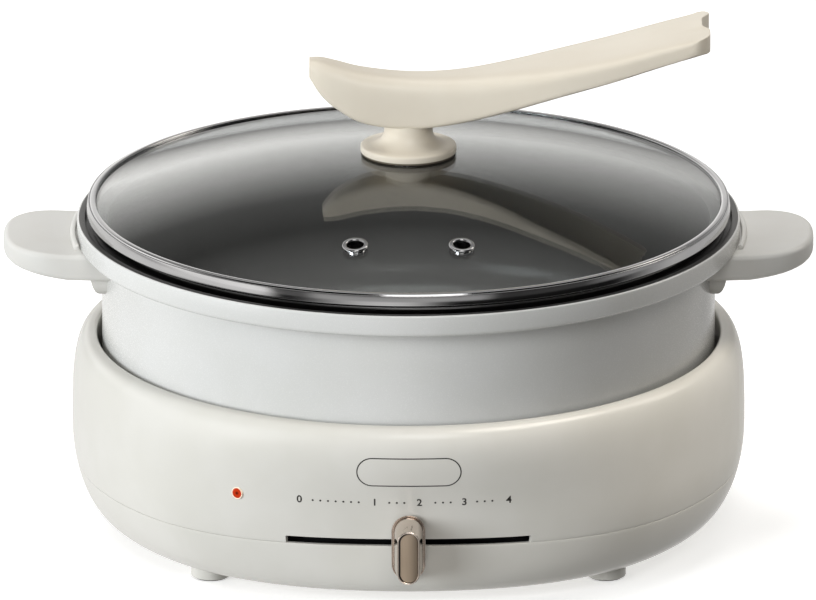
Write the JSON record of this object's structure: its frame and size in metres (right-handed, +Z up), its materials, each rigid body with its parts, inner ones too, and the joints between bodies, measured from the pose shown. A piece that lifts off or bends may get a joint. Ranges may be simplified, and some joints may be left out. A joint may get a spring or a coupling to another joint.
{
  "type": "electric hot pot",
  "caption": "Round electric hot pot: bulging base with sliding heat control, lift-out pan with side handles, and domed glass lid with a long forked grip.",
  "frame": {"origin": "centre of the pan, on the surface that the four feet stand on", "axes": "+Z up; the front with the heat control faces -Y; the side handles lie along X and the grip's fork points to +X"},
  "size_m": [0.3764, 0.3224, 0.2392],
  "materials": {
    "base_plastic": "warm ivory, satin gloss",
    "handle_plastic": "cool white, satin",
    "grip_plastic": "cream, soft satin",
    "pan_enamel": "satin white coating",
    "non_stick": "dark non-stick coating",
    "glass": "clear tempered glass",
    "rim_steel": "polished stainless steel",
    "knob_metal": "polished champagne",
    "insert_metal": "brushed champagne",
    "lens_plastic": "clear orange-red",
    "rubber": "matt black",
    "dark_plastic": "black",
    "board": "green circuit board",
    "led": "clear red",
    "lead_sleeve": "red silicone sleeve",
    "cast_aluminium": "cast",
    "sheet_steel": "bright sheet",
    "screw_steel": "plated",
    "brass": "bright"
  },
  "bodies": {
    "base": {"upper_shell": "base_plastic", "lower_shell": "base_plastic", "heat_shield": "sheet_steel", "heating_plate": "cast_aluminium", "heating_tube": "sheet_steel", "heater_supports": "dark_plastic", "sensor_holder": "sheet_steel", "sensor_spring": "screw_steel", "thermal_fuse": "dark_plastic", "slider_rail": "dark_plastic", "control_board": "board", "board_components": "dark_plastic", "board_screws": "screw_steel", "indicator_lens": "lens_plastic", "indicator_led": "led", "indicator_board": "board", "power_inlet": "dark_plastic", "inlet_pins": "brass", "inlet_leads": "lead_sleeve", "heater_leads": "lead_sleeve", "case_screws": "screw_steel", "foot_front_left": "base_plastic", "foot_pad_front_left": "rubber", "foot_front_right": "base_plastic", "foot_pad_front_right": "rubber", "foot_rear_left": "base_plastic", "foot_pad_rear_left": "rubber", "foot_rear_right": "base_plastic", "foot_pad_rear_right": "rubber"},
    "slider": {"slider_carriage": "dark_plastic", "slider_knob": "knob_metal", "knob_insert": "insert_metal"},
    "sensor": {"sensor_button": "cast_aluminium"},
    "pan": {"pan_body": "pan_enamel", "pan_lining": "non_stick", "base_disc": "sheet_steel", "handle_left": "handle_plastic", "handle_right": "handle_plastic", "handle_bracket_left": "sheet_steel", "handle_bracket_right": "sheet_steel", "handle_screws": "screw_steel"},
    "lid": {"lid_glass": "glass", "lid_rim": "rim_steel", "vent_grommet_left": "rim_steel", "vent_grommet_right": "rim_steel", "knob_base": "grip_plastic", "lid_grip": "grip_plastic", "knob_gasket": "rubber", "washer_seal": "rubber", "knob_washer": "sheet_steel", "knob_screw": "screw_steel"}
  },
  "joints": [
    {"name": "heat_slide", "type": "slide", "parent": "base", "child": "slider", "axis": [1, 0, 0], "range_m": [-0.047, 0.047]},
    {"name": "sensor_press", "type": "slide", "parent": "base", "child": "sensor", "axis": [0, 0, 1], "range_m": [-0.0025, 0], "stiffness_N_per_m": 400, "springref_m": 0.002, "deforming": ["sensor_spring"]},
    {"name": "pan_lift", "type": "slide", "parent": "base", "child": "pan", "axis": [0, 0, 1], "range_m": [0, 0.12]},
    {"name": "lid_lift", "type": "slide", "parent": "pan", "child": "lid", "axis": [0, 0, 1], "range_m": [0, 0.1]}
  ]
}
